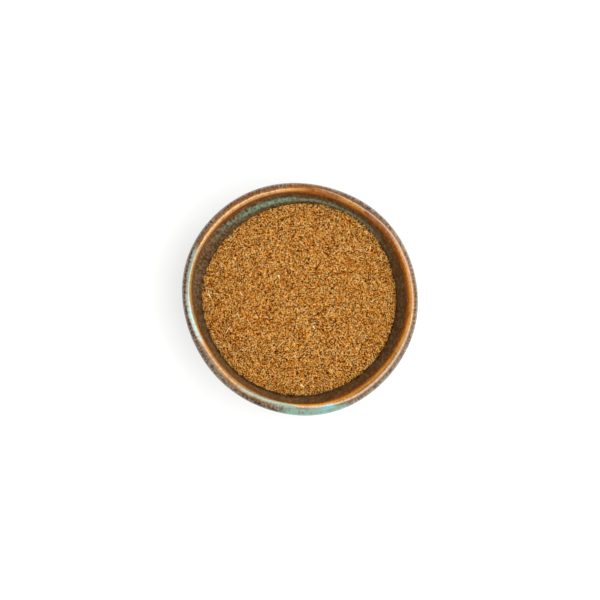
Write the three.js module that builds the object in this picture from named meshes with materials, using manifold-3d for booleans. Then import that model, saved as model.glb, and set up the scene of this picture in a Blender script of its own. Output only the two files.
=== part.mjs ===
// A small stoneware bowl with a hand-altered lip, filled with coarsely ground cumin.
// Millimetres, +Z up. The origin is the centre of the bowl's box, on the surface that the foot rests on.
// Seen from above, +X is to the right and +Y is away from the viewer.
import * as THREE from "three";
import { mergeVertices } from "three/addons/utils/BufferGeometryUtils.js";
import Module from "manifold-3d";

// ---------------------------------------------------------------- driving dimensions
const BOWL = {
  height: 38, // to the mean crest of the lip
  lipRadius: 44.5, // mean radius of the outline
  lipThickness: 4.2,
  lipRise: 2.6, // height of the rounded lip above the straight wall
  floorThickness: 4.6, // clay under the cumin, above the recess
  sides: 64, // facets around
};
const FOOT = { outer: 24.5, inner: 20, height: 3.6, recess: 2.2, chamfer: 0.6 };

// How the walls curve: where the handles of each curve stand, from its ends.
const OUTER_CURVE = {
  belly: { out: 8.5, up: 1.2 }, // from the top of the foot
  flare: { in: 5.4, down: 15 }, // from the lip
};
const INNER_CURVE = { in: 5.6, down: 10.5 }; // from the lip, and the same distance in at the floor

const HEAP = {
  edgeBelowCrest: 9.6, // where the cumin meets the wall
  radius: 37, // of that edge, on average
  crown: 2.2, // rise of the middle above it
  shoulder: 2.6, // how late the crown falls away: 2 is a dome, more is flatter in the middle
  gap: 0.3, // between the cumin and the glaze
  grid: 1.42, // spacing of the relief's points
  jitter: 0.2, // how far a point strays from its place, as a share of the grid
  relief: 0.3, // height of the meal's bumps, up and down
  margin: 3.5, // what the coarse pieces keep clear of the wall
  tilt: 0.25, // most that a coarse piece leans, in radians
  seed: 20817,
};
const DIPS = { depth: 0.28, lengthX: 38, lengthY: 46, shiftX: 4, shiftY: -3 }; // soft hollows

// Slow waves round the bowl: lobes, height in mm, and the angle of a crest in degrees.
const OUTLINE = [
  { lobes: 1, swell: 0.34, crest: 73 },
  { lobes: 2, swell: 0.79, crest: -33 },
  { lobes: 3, swell: 0.32, crest: 30 },
  { lobes: 6, swell: 0.11, crest: -14 },
];
const LIP_HEIGHT = [
  { lobes: 2, swell: 0.35, crest: 75 },
  { lobes: 3, swell: 0.3, crest: 20 },
];
const LIP_THICKNESS = [
  { lobes: 1, swell: 0.45, crest: 290 },
  { lobes: 4, swell: 0.15, crest: 35 },
];
const HEAP_EDGE = [
  { lobes: 2, swell: 0.65, crest: 33 },
  { lobes: 3, swell: 0.65, crest: 55 },
  { lobes: 4, swell: 0.4, crest: -24 },
];

// Pieces in the meal that are coarse enough to show one by one.
const CRUMBS = { count: 64, shortest: 0.75, longest: 1.5, width: [0.6, 0.9], height: 0.55, turns: 1.9 };
const SLIVERS = {
  count: 30,
  shortest: 2,
  longest: 3.6,
  width: 0.62,
  height: 0.8, // of the width
  tip: 0.4, // of the width
  sides: 5,
  turns: 0.4,
};

// ---------------------------------------------------------------- small helpers
const wasm = await Module();
wasm.setup();

const waveAt = (waves, angle) =>
  waves.reduce(
    (sum, { lobes, swell, crest }) =>
      sum + swell * Math.cos(lobes * (angle - THREE.MathUtils.degToRad(crest))),
    0,
  );

// A repeatable stream of numbers from 0 to 1.
function randomStream(seed) {
  let state = seed >>> 0;
  return () => {
    state = (state + 0x6d2b79f5) >>> 0;
    let t = Math.imul(state ^ (state >>> 15), 1 | state);
    t = (t + Math.imul(t ^ (t >>> 7), 61 | t)) ^ t;
    return ((t ^ (t >>> 14)) >>> 0) / 2 ** 32;
  };
}

function toSolid(geometry) {
  const bare = new THREE.BufferGeometry()
    .setAttribute("position", geometry.getAttribute("position"))
    .setIndex(geometry.getIndex());
  const merged = mergeVertices(bare, 1e-4);
  return new wasm.Manifold(
    new wasm.Mesh({
      numProp: 3,
      vertProperties: merged.getAttribute("position").array,
      triVerts: new Uint32Array(merged.getIndex().array),
    }),
  );
}

function toGeometry(solid) {
  const mesh = solid.getMesh();
  const geometry = new THREE.BufferGeometry()
    .setAttribute("position", new THREE.BufferAttribute(mesh.vertProperties, 3))
    .setIndex(new THREE.BufferAttribute(mesh.triVerts, 1));
  geometry.computeVertexNormals();
  return geometry;
}

// ---------------------------------------------------------------- the bowl's section
const lipBase = BOWL.height - BOWL.lipRise;
const floorTop = FOOT.recess + BOWL.floorThickness;
const innerLip = BOWL.lipRadius - BOWL.lipThickness;
const heapEdge = BOWL.height - HEAP.edgeBelowCrest;
const waveFoot = heapEdge - 1; // inside, the lip's waves have died out just under the cumin

// Outside, from the foot up to the lip: full low down, and still leaning out at the top.
const outerWall = new THREE.CubicBezierCurve(
  new THREE.Vector2(FOOT.outer, FOOT.height),
  new THREE.Vector2(FOOT.outer + OUTER_CURVE.belly.out, FOOT.height + OUTER_CURVE.belly.up),
  new THREE.Vector2(BOWL.lipRadius - OUTER_CURVE.flare.in, lipBase - OUTER_CURVE.flare.down),
  new THREE.Vector2(BOWL.lipRadius, lipBase),
);
// Inside, from the lip down to the middle of the floor: it opens wider than the outside does.
const innerWall = new THREE.CubicBezierCurve(
  new THREE.Vector2(innerLip, lipBase),
  new THREE.Vector2(innerLip - INNER_CURVE.in, lipBase - INNER_CURVE.down),
  new THREE.Vector2(innerLip - INNER_CURVE.in, floorTop),
  new THREE.Vector2(0, floorTop),
);
// Over the lip, a half ellipse from the outside to the inside.
const lipRound = new THREE.EllipseCurve(
  BOWL.lipRadius - BOWL.lipThickness / 2,
  lipBase,
  BOWL.lipThickness / 2,
  BOWL.lipRise,
  0,
  Math.PI,
);

// How much of the lip's waves a height takes: the inside is truly round from the cumin down, and
// the outside from the foot down. A section point is from 0, outside, to 1, inside.
function lipShare(z, inside) {
  const { smoothstep, lerp } = THREE.MathUtils;
  const [outer, inner] = [FOOT.height, waveFoot].map((low) => smoothstep(z, low, lipBase));
  return lerp(outer, inner, inside);
}
const sectionPoint = (point, inside) => ({ r: point.x, z: point.y, inside });
const along = (curve, count, inside) =>
  curve.getPoints(count).map((point, i) => sectionPoint(point, inside(i / count)));

const steps = { outerWall: 8, lip: 8, innerWall: 9 };

function bowlSection() {
  const { outer, inner, height, recess, chamfer } = FOOT;
  const underside = [
    [0, recess],
    [inner - recess, recess],
    [inner, 0],
    [outer - chamfer, 0],
    [outer, chamfer],
    [outer, height - chamfer],
  ].map(([r, z]) => ({ r, z, inside: 0 }));
  return [
    ...underside,
    ...along(outerWall, steps.outerWall, () => 0).slice(0, -1),
    ...along(lipRound, steps.lip, (t) => t),
    ...along(innerWall, steps.innerWall, () => 1).slice(1),
  ];
}

// The space inside the bowl, kept clear of the glaze by the gap, and closed above the lip.
function cavitySection() {
  const last = steps.innerWall;
  const wall = innerWall.getPoints(last).map((point, i) => {
    const tangent = innerWall.getTangent(i / last);
    const r = i === last ? 0 : point.x + tangent.y * HEAP.gap;
    return { r, z: point.y - tangent.x * HEAP.gap, inside: 1 };
  });
  return [...wall.reverse(), { r: 0, z: lipBase, inside: 1 }];
}

// Spins a section, then moves each ring of points by the waves that the section gives it.
function turned(section) {
  const points = section.map(({ r, z }) => new THREE.Vector2(r, z));
  const geometry = new THREE.LatheGeometry(points, BOWL.sides);
  const uv = geometry.getAttribute("uv");
  geometry.rotateX(Math.PI / 2);
  const position = geometry.getAttribute("position");
  for (let i = 0; i < position.count; i++) {
    const { r, inside } = section[Math.round(uv.getY(i) * (section.length - 1))];
    if (r === 0) continue;
    const [x, y, z] = [position.getX(i), position.getY(i), position.getZ(i)];
    const angle = Math.atan2(y, x);
    const share = lipShare(z, inside);
    const outward = waveAt(OUTLINE, angle) - inside * waveAt(LIP_THICKNESS, angle);
    const stretch = (r + share * outward) / r;
    position.setXYZ(i, x * stretch, y * stretch, z + share ** 2 * waveAt(LIP_HEIGHT, angle));
  }
  return geometry;
}

// ---------------------------------------------------------------- the ground cumin
const random = randomStream(HEAP.seed);
const between = (low, high) => low + (high - low) * random();

// The settled surface without its grain: a low crown, with soft dips, that meets the wall unevenly.
function heapLevel(x, y) {
  const out = Math.min(1, Math.hypot(x, y) / HEAP.radius);
  const crown = HEAP.crown * (1 - out ** HEAP.shoulder);
  const turnX = (2 * Math.PI * (x + DIPS.shiftX)) / DIPS.lengthX;
  const turnY = (2 * Math.PI * (y + DIPS.shiftY)) / DIPS.lengthY;
  const dips = DIPS.depth * Math.sin(turnX) * Math.cos(turnY);
  return heapEdge + crown + dips + out ** 3 * waveAt(HEAP_EDGE, Math.atan2(y, x));
}

// A block with a top of even triangles, sheared from long cells, each point a bump of the meal.
function heapBlock() {
  const rowHeight = HEAP.grid * Math.sin(Math.PI / 3);
  const lean = Math.tan(Math.PI / 6);
  const side = 2 * BOWL.lipRadius;
  const rows = Math.ceil(side / rowHeight);
  const columns = Math.ceil((side * (1 + lean)) / HEAP.grid);
  const size = [columns * HEAP.grid, rows * rowHeight, BOWL.height];
  const block = new THREE.BoxGeometry(...size, columns, rows, 1);
  const merged = mergeVertices(block.deleteAttribute("normal").deleteAttribute("uv"), 1e-4);
  const position = merged.getAttribute("position");
  for (let i = 0; i < position.count; i++) {
    const stray = HEAP.jitter * HEAP.grid;
    const y = position.getY(i) + between(-stray, stray);
    const x = position.getX(i) - y * lean + between(-stray, stray);
    const top = position.getZ(i) > 0;
    const bump = between(-1, 1) * HEAP.relief;
    position.setXYZ(i, x, y, top ? heapLevel(x, y) + bump : 0);
  }
  return merged;
}

// Spreads pieces evenly over the heap by the golden angle, each turned at random and half sunk.
function scattered({ count, turns }, makePiece) {
  const golden = Math.PI * (3 - Math.sqrt(5));
  const reach = HEAP.radius - HEAP.margin;
  return Array.from({ length: count }, (_, i) => {
    const distance = reach * Math.sqrt((i + 0.5) / count);
    const angle = i * golden + turns;
    const [x, y] = [distance * Math.cos(angle), distance * Math.sin(angle)];
    const piece = makePiece();
    piece.rotateX(between(-HEAP.tilt, HEAP.tilt)).rotateZ(between(0, 2 * Math.PI));
    return piece.translate(x, y, heapLevel(x, y) + HEAP.relief);
  });
}

// A broken bit of seed: a lumpy pebble, flatter than it is long.
function crumb() {
  const length = between(CRUMBS.shortest, CRUMBS.longest);
  const piece = new THREE.IcosahedronGeometry(length / 2, 0);
  return piece.scale(1, between(...CRUMBS.width), CRUMBS.height);
}

// A splinter of husk or stalk: long, thin and pointed at one end.
function sliver() {
  const { shortest, longest, width, height, tip, sides } = SLIVERS;
  const length = between(shortest, longest);
  const piece = new THREE.CylinderGeometry((width * tip) / 2, width / 2, length, sides);
  return piece.rotateZ(Math.PI / 2).scale(1, 1, height);
}

// The largest body alone is kept, so that a piece which misses the surface is dropped.
function heapSolid() {
  const core = toSolid(turned(cavitySection())).intersect(toSolid(heapBlock()));
  const pieces = [...scattered(SLIVERS, sliver), ...scattered(CRUMBS, crumb)];
  const joined = pieces.reduce((heap, piece) => heap.add(toSolid(piece)), core);
  const bodies = joined.decompose().sort((a, b) => b.volume() - a.volume());
  return bodies[0];
}

// ---------------------------------------------------------------- the whole
function named(name, geometry, look) {
  const mesh = new THREE.Mesh(geometry, new THREE.MeshStandardMaterial(look));
  mesh.name = name;
  return mesh;
}

const bowl = named("bowl", turned(bowlSection()), {
  color: 0x5b3a22,
  roughness: 0.25,
  metalness: 0,
});
const cumin = named("ground_cumin", toGeometry(heapSolid()), {
  color: 0xb17536,
  roughness: 0.9,
  metalness: 0,
  flatShading: true,
});

const whole = new THREE.Group();
whole.add(bowl, cumin);

// The waves leave the outline a little off the turning axis, so its box is centred on the origin.
const middle = new THREE.Box3().setFromObject(bowl).getCenter(new THREE.Vector3());
bowl.position.set(-middle.x, -middle.y, 0);
cumin.position.copy(bowl.position);

export default whole;
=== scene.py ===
# %% [markdown]
# # A small stoneware bowl of ground cumin
#
# The real thing is a hand-thrown bowl, about 90 mm across, with a dark olive-brown glaze that thins to
# amber where it runs off the lip, and coarsely ground cumin that fills it to a centimetre below that.
# A plain solid model already holds the size and place of both. This lesson loads that model and dresses
# it, and at the end measures what shows against the solids that it stands for.

import math

import bmesh
import bpy
import numpy as np
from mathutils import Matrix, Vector, noise
from mathutils.geometry import interpolate_bezier


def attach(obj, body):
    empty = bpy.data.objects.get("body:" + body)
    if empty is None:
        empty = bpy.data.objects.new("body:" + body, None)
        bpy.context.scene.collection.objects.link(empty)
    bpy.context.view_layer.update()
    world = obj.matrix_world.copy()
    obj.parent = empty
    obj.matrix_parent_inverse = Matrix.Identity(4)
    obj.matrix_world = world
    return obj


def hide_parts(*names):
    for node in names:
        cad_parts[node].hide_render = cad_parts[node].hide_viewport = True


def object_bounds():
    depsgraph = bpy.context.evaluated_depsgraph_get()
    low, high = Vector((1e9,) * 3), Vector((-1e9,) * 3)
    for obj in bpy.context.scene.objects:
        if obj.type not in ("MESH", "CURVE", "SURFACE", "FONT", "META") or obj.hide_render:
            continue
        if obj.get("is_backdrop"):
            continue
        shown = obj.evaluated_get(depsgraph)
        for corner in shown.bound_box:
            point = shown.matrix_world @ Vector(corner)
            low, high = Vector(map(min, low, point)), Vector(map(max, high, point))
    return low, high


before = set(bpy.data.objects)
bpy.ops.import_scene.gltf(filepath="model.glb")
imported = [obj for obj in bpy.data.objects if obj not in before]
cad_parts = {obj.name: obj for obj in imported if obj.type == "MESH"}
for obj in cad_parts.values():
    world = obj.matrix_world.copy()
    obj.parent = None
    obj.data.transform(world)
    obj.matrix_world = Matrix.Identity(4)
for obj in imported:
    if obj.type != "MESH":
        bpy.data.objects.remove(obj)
CAD_LOW, CAD_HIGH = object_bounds()
MM = 0.001


def in_mm(corner):
    """A corner in metres, as rounded millimetres to print."""
    return tuple(round(float(part) / MM, 2) for part in corner)


print("solids:", sorted(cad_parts), "from", in_mm(CAD_LOW), "to", in_mm(CAD_HIGH), "mm")

# %% [markdown]
# ## Where the photographer stood
#
# The photograph looks straight down, so the sides of the bowl never show, and only its outline, its lip
# and a ring of its inner wall do. A camera 0.7 m above the lip sees them with the same small amount of
# perspective. The lens then follows from one measure, the width of table that the frame takes in at the
# height of the lip.

# %% The camera
HEIGHT = 38.0  # of the bowl's lip above the table, in millimetres
CAMERA_ABOVE_LIP = 0.70
FRAME_WIDTH = 0.2267  # of what the frame takes in, at the lip
LOOKS_AT_Y = -0.3 * MM  # the bowl stands a hair above the middle of the frame

camera_data = bpy.data.cameras.new("camera")
camera_data.sensor_width = 36  # millimetres, as in a full-frame camera
camera_data.lens = camera_data.sensor_width * CAMERA_ABOVE_LIP / FRAME_WIDTH
camera = bpy.data.objects.new("camera", camera_data)
camera.location = (0, LOOKS_AT_Y, HEIGHT * MM + CAMERA_ABOVE_LIP)
bpy.context.scene.collection.objects.link(camera)
bpy.context.scene.camera = camera
print("lens:", round(camera_data.lens, 1), "mm")

# %% [markdown]
# ## Where the light came from
#
# The lip tells this. Its thin bright line lies a little outside the crest on the right and a little inside
# it on the left, and it breaks off only at the top and the bottom. So a wide soft box hung beside the
# camera, on the right, with one edge almost straight above the bowl. The rest is even light from all
# round, and a small weak lamp on the left. The even light is kept out of the glaze's reflections, as a
# photographer does with dark cards, or it would veil the deep colours. All this comes before any colour,
# because a colour read off a picture is paint times light.

# %% Lamps and sky
SKY_STRENGTH = 0.72
LAMPS = {
    # Metres away, degrees from overhead, degrees round, metres wide, metres deep, watts.
    "soft_box": (1.1, 20, -3, 1.05, 0.72, 10.0),
    "weak_lamp": (1.1, 30, 205, 0.22, 0.22, 0.4),
}
level_light = SKY_STRENGTH
for name, (away, off_overhead, turn, width, depth, power) in LAMPS.items():
    lamp_data = bpy.data.lights.new(name, "AREA")
    lamp_data.shape = "RECTANGLE"
    lamp_data.size, lamp_data.size_y = width, depth
    lamp_data.energy = power
    lamp = bpy.data.objects.new(name, lamp_data)
    off_overhead, turn = math.radians(off_overhead), math.radians(turn)
    flat_way = math.sin(off_overhead)
    way = Vector((flat_way * math.cos(turn), flat_way * math.sin(turn), math.cos(off_overhead)))
    lamp.location = way * away
    lamp.rotation_euler = (-way).to_track_quat("-Z", "Y").to_euler()
    bpy.context.scene.collection.objects.link(lamp)
    # What a lamp of this size throws on a level surface below it.
    level_light += power * math.cos(off_overhead) / math.pi**2 / (away**2 + width * depth / math.pi)

sky = bpy.data.worlds.new("soft_sky")
sky.use_nodes = True
sky.node_tree.nodes["Background"].inputs["Color"].default_value = (1, 1, 1, 1)
sky.node_tree.nodes["Background"].inputs["Strength"].default_value = SKY_STRENGTH
sky.cycles_visibility.glossy = False
bpy.context.scene.world = sky
bpy.context.scene.view_settings.view_transform = "Standard"
print("a level white surface would show as", round(level_light, 2), "times white")

# %% [markdown]
# ## The bowl's section
#
# A thrown bowl is a section turned round an axis, so its section comes first: a curve up the outside, a
# half ellipse over the lip, and a curve down the inside. A Bezier curve needs only two handles to be full
# low down and still lean out at the lip. All of it is in millimetres here, and the finished pieces are
# scaled to metres. The sizes are the solid's own.

# %% The potter's sizes, in millimetres
LIP_RADIUS, LIP_THICKNESS, LIP_RISE = 44.5, 4.2, 2.6
FLOOR_THICKNESS = 4.6
FOOT_OUTER, FOOT_INNER, FOOT_HEIGHT = 24.5, 20.0, 3.6
FOOT_RECESS, FOOT_CHAMFER = 2.2, 0.6
BELLY_HANDLE = (8.5, 1.2)  # from the top of the foot
FLARE_HANDLE = (-5.4, -15.0)  # from the outside of the lip
INNER_HANDLE = (-5.6, -10.5)  # from the inside of the lip
UNDER_STEP, OUTER_STEP, INNER_STEP = 0.5, 0.45, 0.8  # from point to point
CURVE_POINTS, LIP_POINTS = 200, 29
EASED_RINGS, EASING_PASSES = 7, 5

LIP_BASE = HEIGHT - LIP_RISE
INNER_LIP = LIP_RADIUS - LIP_THICKNESS
FLOOR_TOP = FOOT_RECESS + FLOOR_THICKNESS


def walked(points, step):
    """The same path with a point every step along it."""
    points = np.array([(point[0], point[1]) for point in points], float)
    lengths = np.r_[0, np.cumsum(np.hypot(*np.diff(points, axis=0).T))]
    places = np.linspace(0, lengths[-1], max(2, round(lengths[-1] / step) + 1))
    return np.column_stack([np.interp(places, lengths, points[:, k]) for k in (0, 1)])


def curve(start, start_handle, end, end_handle, step):
    """A Bezier curve from start to end, with each handle given from its own end."""
    start, end = Vector((*start, 0)), Vector((*end, 0))
    handles = start + Vector((*start_handle, 0)), end + Vector((*end_handle, 0))
    return walked(interpolate_bezier(start, *handles, end, CURVE_POINTS), step)


underside = walked(
    [
        (0, FOOT_RECESS),
        (FOOT_INNER - FOOT_RECESS, FOOT_RECESS),
        (FOOT_INNER, 0),
        (FOOT_OUTER - FOOT_CHAMFER, 0),
        (FOOT_OUTER, FOOT_CHAMFER),
        (FOOT_OUTER, FOOT_HEIGHT),
    ],
    UNDER_STEP,
)
wall_foot, outer_lip = (FOOT_OUTER, FOOT_HEIGHT), (LIP_RADIUS, LIP_BASE)
outer_wall = curve(wall_foot, BELLY_HANDLE, outer_lip, FLARE_HANDLE, OUTER_STEP)
floor_handle = (INNER_LIP + INNER_HANDLE[0], 0)
inner_wall = curve((INNER_LIP, LIP_BASE), INNER_HANDLE, (0, FLOOR_TOP), floor_handle, INNER_STEP)
over = np.linspace(0, math.pi, LIP_POINTS)
lip = np.column_stack(
    [
        LIP_RADIUS - LIP_THICKNESS / 2 + LIP_THICKNESS / 2 * np.cos(over),
        LIP_BASE + LIP_RISE * np.sin(over),
    ]
)
section = np.vstack([underside, outer_wall[1:], lip[1:], inner_wall[1:]])
section[[0, -1], 0] = 0

lip_start = len(underside) + len(outer_wall) - 2
share_inside = np.zeros(len(section))
share_inside[lip_start : lip_start + len(lip)] = over / math.pi
share_inside[lip_start + len(lip) :] = 1
crest = lip_start + len(lip) // 2

# The joins of the lip with the walls are eased, as a wet sponge leaves them.
eased = slice(lip_start - EASED_RINGS, lip_start + len(lip) + EASED_RINGS)
for _ in range(EASING_PASSES):
    middle = (section[:-2] + 2 * section[1:-1] + section[2:]) / 4
    section[eased] = middle[eased.start - 1 : eased.stop - 1]

steps_along = np.hypot(*np.diff(section, axis=0).T)
along = np.r_[0, np.cumsum(steps_along)]
down_from_crest = along - along[crest]
print("section:", len(section), "points,", round(along[-1], 1), "mm long")

# %% [markdown]
# ## The hand in it
#
# No thrown bowl is truly round. The photograph's outline is an oval with a little three-cornered sway,
# and its lip is thicker on the near side. A few slow waves round the bowl say all of that: each has its
# number of lobes, its height in millimetres, and the angle of a crest. The waves fade out down the wall,
# because the foot was trimmed true on the wheel.

# %% Waves round the bowl
OUTLINE = [(1, 0.34, 73), (2, 0.79, -33), (3, 0.32, 30), (6, 0.11, -14)]
LIP_RISES = [(2, 0.35, 75), (3, 0.3, 20)]
LIP_THICKENS = [(1, 0.45, 290), (4, 0.15, 35)]
CUMIN_EDGE = [(2, 0.65, 33), (3, 0.65, 55), (4, 0.4, -24)]
CUMIN_BELOW_CREST = 10.2
EDGE_HEIGHT = HEIGHT - CUMIN_BELOW_CREST
# The lip leans in a little all round, and a thumb has pushed its crest aside in places: the angle, half
# the width, and millimetres inwards.
LEANS_IN = 0.28
CREST_PUSHES = [
    (55, 13, 0.35),
    (80, 9, -0.35),
    (102, 9, 0.3),
    (150, 34, 0.5),
    (215, 17, 0.65),
    (268, 26, 1.15),
    (298, 9, -0.2),
    (325, 18, 0.15),
]
# Where the glaze ran further down the inside before it set: in the same terms, with millimetres down.
GLAZE_RUNS = [
    (30, 12, -0.6),
    (60, 14, 1.7),
    (106, 12, 1.0),
    (130, 24, 0.8),
    (150, 26, 1.15),
    (182, 14, 0.7),
    (214, 20, 1.1),
    (240, 16, 0.7),
    (290, 30, 0.5),
    (318, 22, 0.5),
]


def waves(table, angle):
    """The height of some slow waves at an angle round the bowl."""
    return sum(swell * np.cos(lobes * (angle - math.radians(top))) for lobes, swell, top in table)


def swells(table, angle):
    """The height at an angle of some swells, each with its own angle and half its width."""
    total = np.zeros_like(angle)
    for at, half, height in table:
        away = np.angle(np.exp(1j * (angle - math.radians(at))))
        total += height * np.exp(-((away / math.radians(half)) ** 2))
    return total


def soft_step(value, low, high):
    """0 below low, 1 above high, and a soft rise between."""
    share = np.clip((value - low) / (high - low), 0, 1)
    return share * share * (3 - 2 * share)


def lip_share(z, inside):
    """How much of the lip's waves a height takes, outside and inside the bowl."""
    outer = soft_step(z, FOOT_HEIGHT, LIP_BASE)
    inner = soft_step(z, EDGE_HEIGHT - 1, LIP_BASE)
    return outer + (inner - outer) * inside


def wavy(r, z, angle, inside):
    """The radius and height of a section point once the waves have moved it."""
    share = lip_share(z, inside)
    outward = waves(OUTLINE, angle) - inside * waves(LIP_THICKENS, angle)
    return r + share * outward, z + share**2 * waves(LIP_RISES, angle)


# %% [markdown]
# ## Throwing the bowl
#
# Blender's spin operator does what the wheel did: it turns the section round the upright axis and skins
# it with faces. A full spin merges its last ring with its first, and the two ends of the section, on the
# axis, are welded to a point. Each vertex then moves a little outwards or inwards: with the waves, with
# the faint rings that fingers leave in the wall, and with the thick rolled edge where the glaze stopped
# above the foot. Three numbers go with each vertex to the glaze: how far it is down from the crest of the
# lip, how far it is above the line where the glaze stops, and how far the glaze ran on its side of the bowl.

# %% The bowl's mesh
SIDES = 288
RING_HEIGHT, RING_SPACING = 0.09, 3.9
GLAZE_STOPS = 3.4  # above the top of the foot, along the wall
GLAZE_LINE = [(2, 0.7, 200), (5, 0.45, 40), (9, 0.22, 10)]
GLAZE_ROLL, GLAZE_SKIN = 0.42, 0.14
ROLL_RISES, ROLL_FALLS = (0, 0.7), (0.7, 3.5)  # above the line where the glaze stops
SKIN_THINS = (-16, -6)  # down from the crest
RINGS_BEGIN, RINGS_END = (4, 12), (-10, -4)  # above the foot, and down from the crest
SWELL_SIZE, SWELL_HEIGHT = 13, 0.12


def spun(points, sides):
    """Turns a section round the upright axis, as one closed skin that faces outwards."""
    form = bmesh.new()
    ring = form.verts.layers.int.new("ring")
    line = [form.verts.new((r, 0, z)) for r, z in points]
    for number, vertex in enumerate(line):
        vertex[ring] = number
    edges = [form.edges.new(pair) for pair in zip(line, line[1:])]
    bmesh.ops.spin(
        form,
        geom=line + edges,
        cent=(0, 0, 0),
        axis=(0, 0, 1),
        angle=2 * math.pi,
        steps=sides,
        use_merge=True,
    )
    bmesh.ops.remove_doubles(form, verts=form.verts, dist=1e-5)
    bmesh.ops.recalc_face_normals(form, faces=form.faces)
    return form, np.array([vertex[ring] for vertex in form.verts])


def placed(form, points):
    """Moves the vertices of a form to the rows of an array."""
    for vertex, point in zip(form.verts, points):
        vertex.co = point


def finished(form, name, finish, **numbers):
    """Scales a form in millimetres to metres, and makes it a piece with these numbers on its vertices."""
    bmesh.ops.scale(form, vec=(MM, MM, MM), verts=form.verts)
    mesh = bpy.data.meshes.new(name)
    form.to_mesh(mesh)
    form.free()
    mesh.shade_smooth()
    mesh.materials.append(finish)
    for label, values in numbers.items():
        mesh.attributes.new(label, "FLOAT", "POINT").data.foreach_set("value", np.float32(values))
    piece = bpy.data.objects.new(name, mesh)
    bpy.context.scene.collection.objects.link(piece)
    return piece


bowl_form, ring_of = spun(section, SIDES)
ground = np.array([vertex.co for vertex in bowl_form.verts])
angle = np.arctan2(ground[:, 1], ground[:, 0])
r, z = section[ring_of].T
inside = share_inside[ring_of]
down = down_from_crest[ring_of]

foot_top = down_from_crest[len(underside) - 1]
glazed_by = down - foot_top - GLAZE_STOPS - waves(GLAZE_LINE, angle)

tangent = np.gradient(section, axis=0)[ring_of]
tangent /= np.linalg.norm(tangent, axis=1)[:, None]
outward = np.column_stack([tangent[:, 1], -tangent[:, 0]])

on_outer_wall = soft_step(down - foot_top, *RINGS_BEGIN) * (1 - soft_step(down, *RINGS_END))
rings = RING_HEIGHT * on_outer_wall * np.sin(2 * math.pi * down / RING_SPACING + angle)
has_glaze = soft_step(glazed_by, *ROLL_RISES)
roll = has_glaze * (GLAZE_ROLL - GLAZE_SKIN) * (1 - soft_step(glazed_by, *ROLL_FALLS))
skin = has_glaze * GLAZE_SKIN * (1 - soft_step(down, *SKIN_THINS))
swell = np.array([noise.noise(Vector(point) / SWELL_SIZE) for point in ground])
relief = rings + roll + skin + swell * SWELL_HEIGHT * on_outer_wall
r = r + outward[:, 0] * relief
z = z + outward[:, 1] * relief
r, z = wavy(r, z, angle, inside)
r = r - (LEANS_IN + swells(CREST_PUSHES, angle)) * np.sin(math.pi * inside) ** 2
on_axis = section[ring_of][:, 0] < 1e-6
r[on_axis] = 0
bowl_points = np.column_stack([r * np.cos(angle), r * np.sin(angle), z])

# The waves leave the outline a little off the turning axis, and the solid's box is centred.
off_axis = (bowl_points.max(axis=0) + bowl_points.min(axis=0)) / 2
off_axis[2] = 0
placed(bowl_form, bowl_points - off_axis)
print("bowl:", len(bowl_form.faces), "faces, moved by", -off_axis.round(3), "mm")

# %% [markdown]
# ## Writing a finish
#
# A finish is a tree of nodes that works out a colour, a roughness and a bump for every spot. Wiring it by
# hand hides the idea behind it, so one small class wraps a socket and lets numbers be added, multiplied
# and compared as in any sum: each sign adds its Math node. Every other node comes from one method, which
# takes the node's kind, its settings, and the values or wires of its sockets.

# %% A wire that can be reckoned with
class Wire:
    """What comes out of a socket: a number, a colour or a direction."""

    def __init__(self, finish, socket):
        self.finish = finish
        self.socket = socket

    def __add__(self, other):
        return self.finish.maths("ADD", self, other)

    def __sub__(self, other):
        return self.finish.maths("SUBTRACT", self, other)

    def __rsub__(self, other):
        return self.finish.maths("SUBTRACT", other, self)

    def __mul__(self, other):
        return self.finish.maths("MULTIPLY", self, other)

    __radd__ = __add__
    __rmul__ = __mul__

    def between(self, low, high):
        """Rises softly from 0 at low to 1 at high."""
        settings = {"interpolation_type": "SMOOTHSTEP"}
        ends = {"Value": self, "From Min": low, "From Max": high}
        return self.finish.node("ShaderNodeMapRange", settings, ends)

    def band(self, low, high, soft, soft_high):
        """1 from low to high, with edges this soft, and 0 outside."""
        rises = self.between(low - soft, low + soft)
        return rises * (1 - self.between(high - soft_high, high + soft_high))


def colour(code, light=level_light):
    """The paint that shows as the colour with these six digits, where it lies level in the light."""
    shares = [int(code[k : k + 2], 16) / 255 for k in (0, 2, 4)]
    linear = [s / 12.92 if s <= 0.04045 else ((s + 0.055) / 1.055) ** 2.4 for s in shares]
    return (*(part / light for part in linear), 1)


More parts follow.
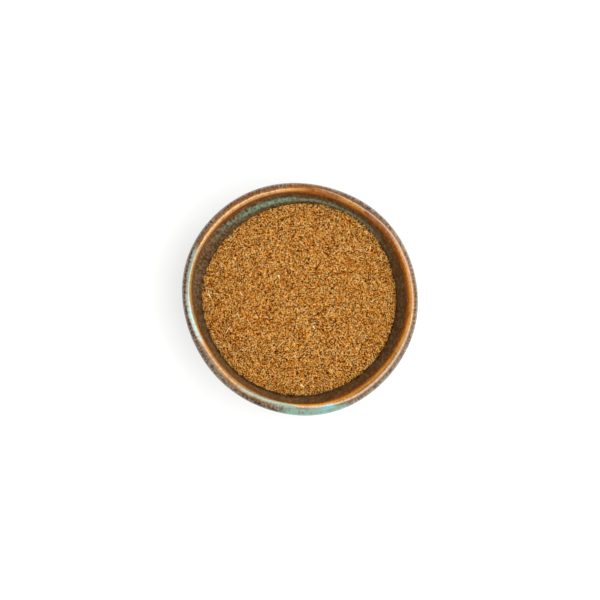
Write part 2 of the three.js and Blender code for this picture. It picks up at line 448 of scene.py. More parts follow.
class Finish:
    """A material, with what it takes to write it as sums."""

    def __init__(self, name, **fixed):
        self.material = bpy.data.materials.new(name)
        self.material.use_nodes = True
        self.tree = self.material.node_tree
        self.shader = self.tree.nodes["Principled BSDF"]
        for label, value in fixed.items():
            self.shader.inputs[label.replace("_", " ")].default_value = value

    def put(self, socket, value):
        """Sets a socket, or wires it up."""
        if isinstance(value, Wire):
            self.tree.links.new(value.socket, socket)
        else:
            socket.default_value = value

    def node(self, kind, settings=None, values=None, out=0):
        """Adds a node: its settings first, then what goes into its sockets."""
        node = self.tree.nodes.new(kind)
        for label, value in (settings or {}).items():
            if label == "stops":
                self.stop_colours(node.color_ramp.elements, value)
            else:
                setattr(node, label, value)
        for label, value in (values or {}).items():
            self.put(node.inputs[label], value)
        return Wire(self, node.outputs[out])

    def stop_colours(self, elements, stops):
        """Fills a colour ramp with its places and colours."""
        while len(elements) < len(stops):
            elements.new(1)
        for element, (place, paint) in zip(elements, stops):
            element.position = place
            element.color = paint

    def maths(self, operation, first, second):
        return self.node("ShaderNodeMath", {"operation": operation}, {0: first, 1: second})

    def vector(self, operation, first, second=(0, 0, 0), out=0):
        return self.node("ShaderNodeVectorMath", {"operation": operation}, {0: first, 1: second}, out)

    def mix(self, under, over, amount):
        """One colour over another."""
        settings = {"data_type": "RGBA", "clamp_factor": True}
        return self.node("ShaderNodeMix", settings, {0: amount, 6: under, 7: over}, 2)

    def ramp(self, place, stops, light=level_light):
        """A colour for a place along a scale, eased from each stop to the next. Places are in the scale's
        own units."""
        low, high = stops[0][0], stops[-1][0]
        scaled = [((at - low) / (high - low), colour(code, light)) for at, code in stops]
        along_ramp = (place - low) * (1 / (high - low))
        return self.node("ShaderNodeValToRGB", {"stops": scaled}, {0: along_ramp})

    def where(self, stretch=(1, 1, 1)):
        """The spot on the piece, in millimetres."""
        object_place = self.node("ShaderNodeTexCoord", out=3)
        scale = tuple(part / MM for part in stretch)
        return self.node("ShaderNodeMapping", None, {"Vector": object_place, "Scale": scale})

    def number(self, name):
        """A number kept on the piece's vertices."""
        return self.node("ShaderNodeAttribute", {"attribute_name": name}, out=2)

    def mottle(self, spot, size, detail=2, rough=0.5):
        """Clouds about size millimetres across, from 0 to 1."""
        values = {"Vector": spot, "Scale": 1 / size, "Detail": detail, "Roughness": rough}
        return self.node("ShaderNodeTexNoise", None, values)

    def specks(self, spot, size, share, feather=0.1):
        """Round specks: 1 inside them. size is how far apart they are, share how wide for that."""
        values = {"Vector": spot, "Scale": 1 / size}
        return 1 - self.node("ShaderNodeTexVoronoi", None, values).between(share - feather, share + feather)

    def bump(self, height, depth):
        """Small relief, with height from 0 to 1 and depth in millimetres."""
        values = {"Height": height, "Distance": depth * MM, "Strength": 1}
        return self.node("ShaderNodeBump", None, values)

    def dress(self, **surface):
        """Wires what changes over the surface to the shader."""
        for label, value in surface.items():
            self.put(self.shader.inputs[label.replace("_", " ")], value)


# %% [markdown]
# ## The glaze
#
# This is a reactive glaze: iron-brown where it is thick, amber where it thins and breaks over the lip, and
# clouded with grey-green and turquoise where its crystals grew. So its colour is first a scale down the
# wall, measured from the crest of the lip, with the ragged edge that melting glaze has. The clouds lie at
# their own angles round the bowl, so each is a patch: an angle, a width, a stretch of the wall and a
# colour. A patch's angle is compared as a direction, not as degrees, and so it has no seam. Some patches
# are partly painted light: painted highlights and reflections over the lip, painted shade on the inner
# wall on the side away from the soft box, and painted light on the side that faces it.

# %% The colours down the wall, and round it
GLAZE_SCALE = [
    (-30.0, "584438"),
    (-10.0, "665042"),
    (-4.5, "8a6e5a"),
    (-2.4, "98785e"),
    (-0.9, "946846"),
    (-0.3, "b47846"),
    (0.1, "ecae58"),
    (0.8, "e89a3c"),
    (1.4, "d07620"),
    (2.4, "a04604"),
    (3.4, "742800"),
    (4.5, "5a2804"),
    (5.7, "5a3614"),
    (9.0, "58320e"),
    (30.0, "4c331d"),
]

# Each patch: its angle, half its width, where it starts and ends down the wall, its softness there, how
# many millimetres lower it lies for each millimetre round, its colour and its strength. The tints colour
# the ground, under the flecks.
TINTS_AND_PAINTED_LIGHT = [
    # Low inside.
    # Painted shade: the inner wall on the right, away from the soft box, is painted dark.
    (346, 28, 6.0, 14.0, 1.5, 0, "421f00", 0.7),
    (112, 24, 10.5, 14.0, 0.8, 0, "5e6a4c", 0.6),
    (168, 22, 2.8, 6.5, 0.8, 0, "8c6f4c", 0.6),
    # On the lip, and then outside it.
    (45, 14, -0.3, 2.0, 0.4, 0, "a45c38", 0.8),
    (77, 11, -0.2, 2.2, 0.4, 0, "ac6436", 0.75),
    (-3, 20, -1.2, 0.3, 0.4, 0, "cf955c", 0.5),
    (-10, 18, -7.0, -1.3, 0.5, 0, "9a7258", 0.7),
    # Partly a painted highlight: the pale line just outside the crest.
    (30, 13, -2.0, 0.0, 0.4, 0, "c0946c", 0.6),
    (58, 15, -3.0, -0.2, 0.4, 0, "94705c", 0.8),
    (90, 8, -5.0, 0.3, 0.6, 0, "b4662c", 0.8),
    (104, 9, -14.0, -2.3, 0.4, 0, "6c5a4c", 0.7),
    (122, 11, -3.6, -0.4, 0.4, 0, "a65c34", 0.8),
    (146, 22, -12.0, -1.2, 0.5, 0, "7c6654", 0.75),
    (191, 27, -12.0, -1.1, 0.4, 0, "5e4034", 0.85),
    (219, 16, -12.0, -0.2, 0.4, 0, "9a8470", 0.75),
    (253, 11, -12.0, -1.6, 0.4, -0.1, "5a3e34", 0.85),
    (317, 30, -12.0, -0.5, 0.4, 0, "9a8874", 0.75),
    # Over the lip, where the amber is paler, brighter or redder, and in places partly a painted highlight.
    (178, 16, 0.5, 2.8, 0.5, 0, "c09c68", 0.7),
    (238, 24, 0.3, 3.0, 0.6, 0, "caa67c", 0.75),
    # Partly a painted highlight on the crest.
    (273, 12, -0.1, 1.5, 0.3, 0, "f6aa3a", 0.9),
    (60, 7, -0.1, 2.3, 0.4, 0, "eaa048", 0.8),
    (315, 17, 0.1, 0.9, 0.3, 0, "a4663a", 0.75),
    # Partly a painted highlight on the crest.
    (128, 32, -0.05, 1.7, 0.35, 0, "ffcc84", 0.65),
    (170, 16, 0.7, 2.6, 0.5, 0, "dca868", 0.6),
    # Partly a painted highlight on the crest.
    (217, 20, 0.0, 2.0, 0.5, 0, "f4b468", 0.6),
    # The inner wall where it is paler: on the left, facing the soft box, so partly painted light.
    (135, 42, 4.5, 16.0, 1.5, 0, "846240", 0.5),
    (238, 36, 4.2, 9.5, 1.0, 0, "98764e", 0.65),
]
# The clouds lie over the flecks.
CLOUDS_AND_PAINTED_LIGHT = [
    # Low inside.
    (72, 34, 8.0, 10.2, 0.8, 0, "9cc2a4", 0.75),
    (108, 14, 7.4, 10.2, 1.0, 0, "94caae", 0.85),
    (128, 12, 6.8, 8.9, 1.0, -0.06, "96be9e", 0.7),
    # On the lip and outside it, some partly painted highlights and reflections.
    # In this and the next, the pale fringe at the outline is partly a painted reflection of the white table.
    (24, 22, -14.0, -2.2, 0.3, 0, "ccd8c0", 0.8),
    (74, 12, -14.0, -2.4, 0.4, 0, "b9c4aa", 0.7),
    (168, 12, -0.8, 0.6, 0.35, 0.03, "b0c8b4", 0.85),
    # Near-white mint inside the crest: partly a painted highlight.
    (192, 11, -0.6, 1.0, 0.35, 0.03, "cceee4", 0.95),
    # Partly a painted highlight on the crest.
    (249, 12, -0.4, 0.8, 0.4, 0, "bcdccb", 0.8),
    (261, 6, -1.0, 0.4, 0.4, 0, "a8d0be", 0.8),
    (273, 13, -3.0, -0.6, 0.4, 0.06, "a0cab8", 0.85),
    (286, 5, -14.0, -1.2, 0.4, 0, "a0cab8", 0.7),
    # The sky-blue spot on the lip: partly a painted reflection.
    (284, 2.7, -1.4, 0.2, 0.4, 0, "96d4e0", 0.8),
]
print("glaze:", len(GLAZE_SCALE), "stops,", len(TINTS_AND_PAINTED_LIGHT), "tints and", len(CLOUDS_AND_PAINTED_LIGHT), "clouds")

# %% [markdown]
# ## Painting the bowl
#
# The nodes paint in layers: the scale of colours, the tints, the flecks of pale crystal and dark iron, the
# clouds, and fine streaks over those. Melting drew the glaze out down the wall, so its mottle is drawn out
# too: the wall is rolled out flat and squeezed lengthwise before the noise is read from it. The same mottle
# makes edges ragged, wears the patches thin and breaks into flecks, as all of that came of one melt.

# %% The bowl's finish
# How wide the mottles are, in millimetres, and what the wall's length is multiplied by for two of them:
# one at 0.3 is over three times as long as it is wide.
SWIRL_SIZE = 7
STREAK_SIZE, STREAKS_DRAWN = 0.9, 0.3
FLECK_SIZE, FLECKS_DRAWN = 0.78, 0.55
IRON_SIZE = 0.72
FLECK_EDGE = (0.49, 0.57)  # how high in its mottle a fleck begins, and is full
# Stretches of the wall over which the look changes, down from the crest of the lip.
OUTSIDE_ENDS, LOW_INSIDE_BEGINS, SATIN_BEGINS = (-1.6, -0.6), (3.6, 5.4), (3.0, 5.0)
# A patch's sides stray this far, in millimetres, and are this soft for their distance from its middle.
# Its upper and lower ends stray less, but more so far down the outside, where they also get softer.
SIDES_STRAY, SIDES_SOFT = 14, 0.45
ENDS_STRAY, LOW_ENDS_STRAY, LOW_OUTSIDE = 0.7, 11, (-9, -2.5)
FADES, FADES_BELOW = 0.4, -2  # softness for each millimetre down the outside, below this one
CRYSTALS, IRON, FRECKLES, POOLED = "bcb898", "180a00", "4a2a14", "33241b"
CLAY_SCALE = [(0.2, "8a6747"), (0.5, "a98460"), (0.8, "bd9a74")]
CLAY_SPECKS, TOASTED_CLAY = "4a3020", "6e4526"


def bare_clay(finish, spot, glazed):
    """The stoneware below the glaze: speckled, and toasted next to the glaze."""
    clay = finish.ramp(finish.mottle(spot, 2.2, 4, 0.65), CLAY_SCALE)
    clay = finish.mix(clay, colour(CLAY_SPECKS), finish.specks(spot, 1.4, 0.16) * 0.7)
    toasted = 1 - (glazed * -1).between(-0.2, 1.6)
    return finish.mix(clay, colour(TOASTED_CLAY), toasted * 0.6)


def glaze():
    """The bowl's finish: glaze down to its stopping line, and bare stoneware under it. Some patches are
    painted light.
    """
    finish = Finish("reactive_glaze", IOR=1.5, Coat_Roughness=0.03, Coat_IOR=1.5)
    spot = finish.where()
    bearing = finish.vector("NORMALIZE", finish.where((1, 1, 0)))
    down_wall = finish.number("down_the_wall")
    glazed = finish.number("above_the_glaze_line")

    # The wall rolled out flat and squeezed, once for the streaks and once for the flecks.
    round_the_bowl = finish.vector("MULTIPLY", bearing, (LIP_RADIUS, LIP_RADIUS, 0))
    streaked, flecked = [
        finish.vector(
            "ADD", round_the_bowl, finish.node("ShaderNodeCombineXYZ", None, {2: down_wall * drawn})
        )
        for drawn in (STREAKS_DRAWN, FLECKS_DRAWN)
    ]
    streaks = finish.mottle(streaked, STREAK_SIZE, 3, 0.65)
    flecks = finish.mottle(flecked, FLECK_SIZE, 2, 0.55)
    swirl = finish.mottle(spot, SWIRL_SIZE) - 0.5

    # The scale of colours lies lower where the glaze ran, and the drips make its edges ragged.
    ran = finish.number("how_far_it_ran") * down_wall.between(0, 1)
    drips = (streaks - 0.5) * (0.7 + down_wall.between(0.4, 1.6) * 1.3) + (flecks - 0.5) * 1.4
    paint = finish.ramp(down_wall - ran + drips + swirl * ENDS_STRAY, GLAZE_SCALE)

    worn = (streaks * 0.5 + flecks * 0.5).between(0.3, 0.5)
    ends_stray = ENDS_STRAY + (1 - down_wall.between(*LOW_OUTSIDE)) * LOW_ENDS_STRAY

    def patched(paint, patches):
        """The paint under these patches, each broken up a little by the drips."""
        for turn, half, start, end, soft, lower, code, strength in patches:
            turn, reach = math.radians(turn), LIP_RADIUS * math.sin(math.radians(half))
            to_it, past_it = (math.cos(turn), math.sin(turn), 0), (-math.sin(turn), math.cos(turn), 0)
            facing = finish.vector("DOT_PRODUCT", bearing, to_it, out=1).between(0, 0.3)
            aside = finish.vector("DOT_PRODUCT", round_the_bowl, past_it, out=1)
            side_soft = reach * SIDES_SOFT
            across = (aside + swirl * SIDES_STRAY).band(-reach, reach, side_soft, side_soft)
            depth = down_wall + drips * 0.6 + swirl * ends_stray - aside * lower
            upright = depth.band(start, end, soft + max(0, FADES_BELOW - start) * FADES, soft)
            paint = finish.mix(paint, colour(code), across * upright * facing * worn * strength)
        return paint

    def speckled(paint, crystals, iron):
        """Grey-green crystals and dark iron over the paint, by how much of each there is."""
        paint = finish.mix(paint, colour(CRYSTALS), crystals)
        return finish.mix(paint, colour(IRON), iron)

    # Outside, crystals and iron are flecks of their own. Low inside, they share one broken streak.
    outside = 1 - down_wall.between(*OUTSIDE_ENDS)
    low_inside = down_wall.between(*LOW_INSIDE_BEGINS)
    light_flecks = flecks.between(*FLECK_EDGE) * outside
    dark_flecks = finish.mottle(flecked, IRON_SIZE, 2, 0.55).between(*FLECK_EDGE)
    broken = streaks * 0.35 + flecks * 0.65
    light_streaks = broken.between(*FLECK_EDGE) * low_inside
    dark_streaks = (1 - broken).between(*FLECK_EDGE) * low_inside
    paint = patched(paint, TINTS_AND_PAINTED_LIGHT)
    paint = speckled(paint, light_flecks * 0.5, dark_flecks * (outside * 0.45 + 0.24))
    paint = patched(paint, CLOUDS_AND_PAINTED_LIGHT)
    paint = speckled(paint, light_streaks * 0.24, dark_streaks * 0.5)
    paint = finish.mix(paint, colour(FRECKLES), finish.specks(spot, 1.3, 0.18) * 0.45)

    # Where the glaze stops, it rolls up dark and thick.
    is_glazed = glazed.between(0, 0.35)
    pooled = glazed.band(0.3, 2.6, 0.7, 0.7)
    paint = finish.mix(paint, colour(POOLED), pooled * 0.6)

    satin = down_wall.between(*SATIN_BEGINS)
    roughness = 0.04 + satin * 0.3 + flecks * 0.05
    grain = finish.mottle(spot, 0.4, 2, 0.6) * (1 - is_glazed)
    pits = finish.specks(spot, 1.7, 0.1, 0.05) * is_glazed
    relief = finish.mottle(spot, 1.6, 3, 0.55) * 0.35 + grain * 0.6 - pits * 0.25
    finish.dress(
        Base_Color=finish.mix(bare_clay(finish, spot, glazed), paint, is_glazed),
        Roughness=roughness * is_glazed + 0.82 * (1 - is_glazed),
        Coat_Weight=is_glazed * (0.8 - satin * 0.6),
        Normal=finish.bump(relief, 0.07),
    )
    return finish.material


bowl = finished(
    bowl_form,
    "stoneware_bowl",
    glaze(),
    down_the_wall=down,
    above_the_glaze_line=glazed_by,
    how_far_it_ran=swells(GLAZE_RUNS, angle),
)
print("glaze:", len(bowl.data.materials[0].node_tree.nodes), "nodes")

# %% [markdown]
# ## The bed of meal
#
# Ground cumin is finer than rice, so most of it is a bed with relief, and only the grains that lie loose
# on top are modelled one by one. The bed fills the bowl down to its floor. Its top is a low crown with
# soft hollows, and it meets the wall in an uneven line. The wall's radius at a height is read back from
# the bowl's own section, so the bed reaches just short of the glaze all the way round.

# %% The settled surface
HEAP_RADIUS, HEAP_CROWN, HEAP_SHOULDER = 37.0, 2.2, 2.6
DIP_DEPTH = 0.28
DIP_LENGTH_X, DIP_LENGTH_Y, DIP_SHIFT_X, DIP_SHIFT_Y = 38, 46, 4, -3
EDGE_PASSES = 6
BED_GAP = 0.06  # between the bed and the glaze
BED_RINGS, BED_SIDES = 72, 420
# The meal's soft lumps and its crumbs: how far apart, how high, and which slice of the noise they are.
MEAL_RELIEF = [(3.4, 0.2, 3.0), (0.8, 0.14, 9.0)]

wall = section[crest:][::-1]


def settled(x, y):
    """The height of the settled cumin at a spot, without its grain."""
    out = np.minimum(1, np.hypot(x, y) / HEAP_RADIUS)
    turn_x = 2 * math.pi * (x + DIP_SHIFT_X) / DIP_LENGTH_X
    turn_y = 2 * math.pi * (y + DIP_SHIFT_Y) / DIP_LENGTH_Y
    crown = HEAP_CROWN * (1 - out**HEAP_SHOULDER) + DIP_DEPTH * np.sin(turn_x) * np.cos(turn_y)
    return EDGE_HEIGHT + crown + out**3 * waves(CUMIN_EDGE, np.arctan2(y, x))


def wall_radius(height, angle):
    """How far the inner wall is from the axis."""
    radius = np.interp(height, wall[:, 1], wall[:, 0])
    return wavy(radius, height, angle, 1)[0]


def edge_radius(angle):
    """How far from the axis the cumin meets the wall: a guess that each pass brings nearer."""
    radius = np.full_like(angle, HEAP_RADIUS)
    for _ in range(EDGE_PASSES):
        radius = wall_radius(settled(radius * np.cos(angle), radius * np.sin(angle)), angle)
    return radius


def grainy(x, y):
    """The rise and fall of the meal's surface: soft lumps, and then its crumbs."""
    relief = np.zeros(len(x))
    for apart, height, layer in MEAL_RELIEF:
        relief += [noise.noise(Vector((a / apart, b / apart, layer))) * height for a, b in zip(x, y)]
    return relief


top_rings = [(share * HEAP_RADIUS, EDGE_HEIGHT) for share in np.linspace(0, 1, BED_RINGS + 1)]
round_wall = wall[wall[:, 1] < EDGE_HEIGHT - 2][::-1]
under_rings = [(max(0, radius - BED_GAP), height + BED_GAP) for radius, height in round_wall]
bed_form, bed_ring = spun(top_rings + under_rings, BED_SIDES)
bed_points = np.array([vertex.co for vertex in bed_form.verts])
on_top = bed_ring <= BED_RINGS
bearing = np.arctan2(bed_points[on_top, 1], bed_points[on_top, 0])
reach = bed_ring[on_top] / BED_RINGS * (edge_radius(bearing) - BED_GAP)
top_x, top_y = reach * np.cos(bearing), reach * np.sin(bearing)
bed_points[on_top] = np.column_stack([top_x, top_y, settled(top_x, top_y) + grainy(top_x, top_y)])
placed(bed_form, bed_points - off_axis)
print("bed:", len(bed_form.faces), "faces; its edge is", edge_radius(bearing).mean().round(2), "mm out")

# %% [markdown]
# ## Shapes of the broken seed
#
# Milled seed breaks into angular lumps, thin flakes of seed coat, splinters of husk, and the fine bristles
# of the ribs. A small family of each is enough, because every copy is turned, scaled and toned on its own.
# A lump starts as a ten-sided ball whose corners are pulled about. A flake is a thin box, and a splinter a
# five-sided cone. They stay that simple, because there will be tens of thousands of them.

# %% A few of each kind
chance = np.random.default_rng(20817)
FAMILY = 12


def read(form):
    """The corners and the triangles of a form, as arrays."""
    bmesh.ops.triangulate(form, faces=form.faces)
    form.verts.index_update()
    corners = np.array([vertex.co for vertex in form.verts])
    triangles = np.array([[vertex.index for vertex in face.verts] for face in form.faces])
    form.free()
    return corners, triangles


def pulled(form, least, most):
    """Pulls each corner in or out by its own share."""
    for corner in form.verts:
        corner.co *= chance.uniform(least, most)
    return form


def lump():
    form = bmesh.new()
    bmesh.ops.create_uvsphere(form, u_segments=5, v_segments=2, radius=0.5)
    squeeze = (chance.uniform(1.2, 1.7), chance.uniform(0.65, 0.9), chance.uniform(0.65, 0.9))
    bmesh.ops.scale(form, vec=squeeze, verts=form.verts)
    return read(pulled(form, 0.72, 1.18))


def flake():
    form = bmesh.new()
    bmesh.ops.create_cube(form, size=1)
    bmesh.ops.scale(form, vec=(1, chance.uniform(0.4, 0.75), chance.uniform(0.12, 0.22)), verts=form.verts)
    return read(pulled(form, 0.6, 1.05))


def splinter(thick=0.1, bends=0, sag=0.0):
    """A cone laid along X, one unit long, which may be bent."""
    form = bmesh.new()
    bmesh.ops.create_cone(
        form, cap_ends=True, segments=5, radius1=thick, radius2=thick * chance.uniform(0.3, 0.6), depth=1
    )
    if bends:
        lengthwise = [edge for edge in form.edges if abs(edge.verts[0].co.z - edge.verts[1].co.z) > 0.5]
        bmesh.ops.subdivide_edges(form, edges=lengthwise, cuts=bends)
    for corner in form.verts:
        bend = sag * (0.25 - corner.co.z**2)
        corner.co = Vector((corner.co.z, corner.co.x + bend, corner.co.y))
    return read(form)


lumps = [lump() for _ in range(FAMILY)]
flakes = [flake() for _ in range(FAMILY)]
splinters = [splinter(chance.uniform(0.08, 0.15)) for _ in range(FAMILY)]
bristles = [splinter(0.03, 4, chance.uniform(-0.35, 0.35)) for _ in range(FAMILY)]
for label, family in [("lump", lumps), ("flake", flakes), ("splinter", splinters), ("bristle", bristles)]:
    print(label, "has", len(family[0][1]), "triangles")

# %% [markdown]
# ## Strewing
#
# Placing 57,000 grains one object at a time would choke any scene. Instead each kind becomes one mesh, with
# the corners of every copy worked out at once by array sums: a turn, a size and a place for each. The
# spots come from an even net of triangles, each strayed a little, so that the cover is close and yet has
# no rows. Every draw comes from one seeded stream, so the heap is the same each time.

# %% Turns, spots, and one mesh for a kind
NET_STRAY = 0.42  # for each millimetre of the net's spacing
CLEAR_OF_WALL = 0.12


def turns_for(count, lean):
    """Random turns: any way round, and leaning by about this many radians."""
    yaw = chance.uniform(0, 2 * math.pi, count)
    pitch = chance.normal(0, lean, count)
    roll = chance.normal(0, lean, count)
    zero, one = np.zeros(count), np.ones(count)
    about_z = [np.cos(yaw), -np.sin(yaw), zero, np.sin(yaw), np.cos(yaw), zero, zero, zero, one]
    about_y = [np.cos(pitch), zero, np.sin(pitch), zero, one, zero, -np.sin(pitch), zero, np.cos(pitch)]
    about_x = [one, zero, zero, zero, np.cos(roll), -np.sin(roll), zero, np.sin(roll), np.cos(roll)]
    z, y, x = (np.stack(parts, axis=1).reshape(count, 3, 3) for parts in (about_z, about_y, about_x))
    return z @ y @ x


def spots_apart(spacing):
    """Evenly spread spots out to the wall, each strayed from its place in the net."""
    rows = np.arange(-HEAP_RADIUS - 1, HEAP_RADIUS + 1, spacing * math.sin(math.pi / 3))
    columns = np.arange(-HEAP_RADIUS - 1, HEAP_RADIUS + 1, spacing)
    x, y = np.meshgrid(columns, rows)
    x[1::2] += spacing / 2
    spots = np.column_stack([x.ravel(), y.ravel()])
    spots += chance.uniform(-NET_STRAY, NET_STRAY, spots.shape) * spacing
    limit = edge_radius(np.arctan2(spots[:, 1], spots[:, 0]))
    return spots[np.hypot(*spots.T) < limit - CLEAR_OF_WALL]


def strewn(name, family, spots, heights, sizes, tones, lean, finish):
    """One piece with a copy of one of the family at every spot."""
    picks = chance.integers(len(family), size=len(spots))
    turns = turns_for(len(spots), lean)
    centres = np.column_stack([spots, heights]) - off_axis
    corners, triangles, shades, used = [], [], [], 0
    for pick, (shape, faces) in enumerate(family):
        mine = np.flatnonzero(picks == pick)
        turned = np.einsum("nij,vj->nvi", turns[mine], shape) * sizes[mine, None, None]
        corners.append((turned + centres[mine, None]).reshape(-1, 3))
        first = used + np.arange(len(mine)) * len(shape)
        triangles.append((faces[None] + first[:, None, None]).reshape(-1, 3))
        shades.append(np.repeat(tones[mine], len(shape)))
        used += len(mine) * len(shape)
    mesh = bpy.data.meshes.new(name)
    mesh.from_pydata(np.vstack(corners) * MM, [], np.vstack(triangles))
    mesh.materials.append(finish)
    tone = mesh.attributes.new("tone", "FLOAT", "POINT")
    tone.data.foreach_set("value", np.float32(np.concatenate(shades)))
    piece = bpy.data.objects.new(name, mesh)
    bpy.context.scene.collection.objects.link(piece)
    print(name + ":", len(spots), "grains,", len(mesh.polygons), "triangles")
    return piece


# %% [markdown]
# ## The colour of cumin
#
# Ground cumin is a mix: golden kernel, tan husk, brown seed coat and the odd near-black fleck. A tone from
# 0 to 1 is kept on every grain, and a scale turns it into a colour. Slow clouds shift whole patches a
# little towards a redder brown, as a heap has where coarser coat has gathered, and a fine mottle keeps a
# single grain from being one flat colour.

# %% Finishes for the meal
HEAP_LIGHT = level_light * 0.8  # grains stand in each other's light
GRAIN_MOTTLE, REDDER_SIZE, CLOUD_SIZE = 0.16, 1.1, 3.2  # millimetres across
REDDER, REDDER_SHARE = "9a4a10", 0.12
BED_TONE = 0.5


def meal(name, scale, depth=0.04):
    """A dry, matt finish whose colour follows each grain's tone."""
    finish = Finish(name, IOR=1.45, Specular_IOR_Level=0.03)
    spot = finish.where()
    tone = finish.number("tone")
    fine = finish.mottle(spot, GRAIN_MOTTLE, 2, 0.6)
    cloud = finish.mottle(spot, CLOUD_SIZE)
    paint = finish.ramp(tone + (fine - 0.5) * 0.4 + (cloud - 0.5) * 0.1, scale, HEAP_LIGHT)
    redder = finish.mottle(spot, REDDER_SIZE, 1).between(0.5, 0.75)
    paint = finish.mix(paint, colour(REDDER, HEAP_LIGHT), redder * REDDER_SHARE)
    finish.dress(Base_Color=paint, Roughness=0.72 + fine * 0.25, Normal=finish.bump(fine, depth))
    return finish.material


MEAL_SCALE = [
    (0.0, "340400"),
    (0.28, "7e2800"),
    (0.5, "d6760c"),
    (0.72, "ffc054"),
    (1.0, "ffe29c"),
]
PALE_SCALE = [(0.0, "dca048"), (0.5, "f8d488"), (1.0, "fff6c0")]
# The bed under the loose grains is painted far darker than they are: painted shade in the gaps between them.
BED_SCALE = [(0.0, "241000"), (0.5, "482002"), (1.0, "703808")]

meal_finish = meal("ground_seed", MEAL_SCALE)
pale_finish = meal("pale_husk", PALE_SCALE, 0.02)
shaded_bed_finish = meal("shaded_bed_meal", BED_SCALE, 0.12)
bed = finished(bed_form, "cumin_bed", shaded_bed_finish, tone=np.full(len(bed_points), BED_TONE))
print("finishes for the meal:", meal_finish.name, pale_finish.name, shaded_bed_finish.name)

# %% [markdown]
# ## The loose meal
#
# The four kinds below share one net of spots, so that none lies where another does. Each kind has its
# share of the spots, its sizes in millimetres and its range of tones.

# %% Strew the meal
MEAL_SPACING = 0.295
MEAL_DEPTH = 0.24  # how far loose grains lie above or below the settled surface
LUMPS_LEAN = 1.2
# Name, share of the spots, least and most size, least and most tone, and how far it stands up.
MEAL_KINDS = [
    ("cumin_kernel_golden", 0.30, 0.29, 0.56, 0.52, 0.80, 0.14),
    ("cumin_kernel_tan", 0.26, 0.27, 0.54, 0.76, 1.00, 0.12),
    ("cumin_meal_brown", 0.18, 0.29, 0.56, 0.26, 0.50, 0.03),
    ("cumin_seed_coat", 0.26, 0.28, 0.54, 0.00, 0.24, 0.02),
]

spots = chance.permutation(spots_apart(MEAL_SPACING))
surface = settled(*spots.T) + grainy(*spots.T)
pieces = [bed]
start = 0
for name, share, least, most, dark, light, stands in MEAL_KINDS:
    mine = slice(start, start + round(share * len(spots)))
    start = mine.stop
    count = len(spots[mine])
    sizes = chance.uniform(least, most, count)
    tones = chance.uniform(dark, light, count)
    heights = surface[mine] + stands + chance.uniform(-MEAL_DEPTH, MEAL_DEPTH, count)
    pieces.append(strewn(name, lumps, spots[mine], heights, sizes, tones, LUMPS_LEAN, meal_finish))

# %% [markdown]
# ## Flakes, splinters and bristles
#
# Longer bits lie flatter than lumps do, on top of the rest. The photograph shows a few of them one by one:
# near-white chips and pale bristles of the seed's ribs. Those have their own list, with the spot in the
# photograph's pixels, a length in millimetres and a turn in degrees.

# %% Strew the long bits, then lay the few that stand out
PIXEL = 0.3813  # millimetres of the table in a pixel of the photograph
MIDDLE_X, MIDDLE_Y = 300.0, 299.2  # the bowl's middle in the photograph
LIES_ABOVE, LAID_ABOVE = (0.15, 0.34), 0.42  # the settled surface
LAID_TONE = 0.95
CHIPS = [
    (314.0, 327.5, 1.3, -60),
    (359.6, 226.0, 1.1, 10),
    (364.0, 225.0, 0.6, 30),
    (242.8, 350.5, 0.9, -45),
    (236.6, 241.2, 0.9, -70),
    (318.4, 245.0, 0.8, 20),
    (355.9, 330.6, 0.8, 0),
    (389.5, 305.0, 0.7, 60),
    (279.0, 276.7, 1.5, -68),
    (209.1, 295.6, 1.4, -80),
    (302.5, 386.3, 1.7, -38),
]
RIB_BRISTLES = [
    (228.3, 329.5, 3.2, 57),
    (330.0, 310.0, 2.6, 57),
    (281.8, 343.6, 2.2, 45),
    (243.9, 248.1, 2.2, -72),
]


def scattered(count, margin):
    """Spots anywhere on the heap, clear of the wall."""
    radius = (HEAP_RADIUS - margin) * np.sqrt(chance.uniform(0, 1, count))
    bearing = chance.uniform(0, 2 * math.pi, count)
    return np.column_stack([radius * np.cos(bearing), radius * np.sin(bearing)])


def long_bits(name, family, count, finish, sizes, tones, lean):
    """Longer bits strewn over the top of the meal. sizes and tones hold the least and the most."""
    spots = scattered(count, sizes[1] / 2)
    heights = settled(*spots.T) + grainy(*spots.T) + chance.uniform(*LIES_ABOVE, count)
    sizes, tones = chance.uniform(*sizes, count), chance.uniform(*tones, count)
    return strewn(name, family, spots, heights, sizes, tones, lean, finish)


pieces += [
    long_bits("cumin_coat_flakes", flakes, 3400, meal_finish, sizes=(0.5, 1.0), tones=(0.1, 0.7), lean=0.35),
    long_bits(
        "cumin_husk_splinters", splinters, 3600, meal_finish, sizes=(0.7, 1.5), tones=(0.35, 1.0), lean=0.25
    ),
    long_bits(
        "cumin_husk_bristles", bristles, 90, pale_finish, sizes=(1.4, 2.6), tones=(0.0, 0.7), lean=0.12
    ),
]


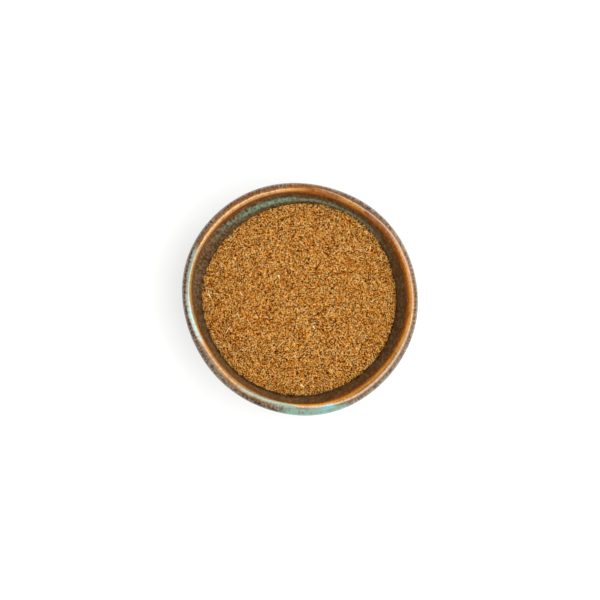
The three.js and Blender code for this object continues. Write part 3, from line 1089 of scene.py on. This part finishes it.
def laid(name, shape, list_of_bits):
    """Lays each listed bit where the photograph has it, almost flat on the meal."""
    corners, triangles = [], []
    for across, below, length, turn in list_of_bits:
        x, y = (across - MIDDLE_X) * PIXEL, (MIDDLE_Y - below) * PIXEL
        height = settled(x, y) + LAID_ABOVE
        form, faces = shape()
        way = math.radians(turn)
        turned = form[:, :2] @ np.array([[math.cos(way), math.sin(way)], [-math.sin(way), math.cos(way)]])
        triangles.append(faces + sum(len(part) for part in corners))
        corners.append(np.column_stack([turned, form[:, 2]]) * length + (x, y, height))
    mesh = bpy.data.meshes.new(name)
    mesh.from_pydata(np.vstack(corners) * MM, [], np.vstack(triangles))
    mesh.materials.append(pale_finish)
    tones = np.full(len(mesh.vertices), LAID_TONE, np.float32)
    mesh.attributes.new("tone", "FLOAT", "POINT").data.foreach_set("value", tones)
    piece = bpy.data.objects.new(name, mesh)
    bpy.context.scene.collection.objects.link(piece)
    return piece


pieces += [
    laid("cumin_pale_chips", lambda: splinter(0.22), CHIPS),
    laid("cumin_rib_bristles", lambda: splinter(0.045, 4, 0.15), RIB_BRISTLES),
]
print("cumin:", sum(len(piece.data.polygons) for piece in pieces), "faces in", len(pieces), "pieces")

# %% [markdown]
# ## The table
#
# The bowl stands on a plain white table. The shadow in the photograph is very faint, as on the translucent
# white sheet of a light table, which is lit from below. So the sheet throws back not quite half of the
# light that falls on it, and glows as well, and the two together show as white.

# %% A light table
TABLE_SIZE = 20.0
TABLE_BELOW = 0.02 * MM  # keeps the foot's ring from sharing a plane with the table
TABLE_GLOW = 0.55
THROWN_BACK = ["b2b2b0", "b7b7b5"]  # from the darker to the paler parts of the sheet
SHEET_MOTTLE = 9

floor_form = bmesh.new()
bmesh.ops.create_grid(floor_form, x_segments=1, y_segments=1, size=TABLE_SIZE / MM / 2)
bmesh.ops.translate(floor_form, vec=(0, 0, -TABLE_BELOW / MM), verts=floor_form.verts)
table = Finish("white_table", Roughness=0.6, Emission_Color=(1, 1, 1, 1), Emission_Strength=TABLE_GLOW)
darker, paler = (colour(code, 1) for code in THROWN_BACK)
table.dress(Base_Color=table.mix(darker, paler, table.mottle(table.where(), SHEET_MOTTLE, 3)))
floor = finished(floor_form, "floor", table.material)
print("table:", TABLE_SIZE, "m wide, with a glow of", TABLE_GLOW)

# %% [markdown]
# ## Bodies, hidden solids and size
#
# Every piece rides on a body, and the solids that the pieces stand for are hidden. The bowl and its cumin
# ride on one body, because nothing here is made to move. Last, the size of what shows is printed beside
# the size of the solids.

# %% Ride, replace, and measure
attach(bowl, "root")
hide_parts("bowl")
for piece in pieces:
    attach(piece, "root")
    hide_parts("ground_cumin")
floor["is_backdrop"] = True

low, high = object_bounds()
print("the solids:", in_mm(CAD_LOW), in_mm(CAD_HIGH), "what shows:", in_mm(low), in_mm(high))
sizes = {"cad": [list(CAD_LOW), list(CAD_HIGH)], "visual": [list(low), list(high)]}
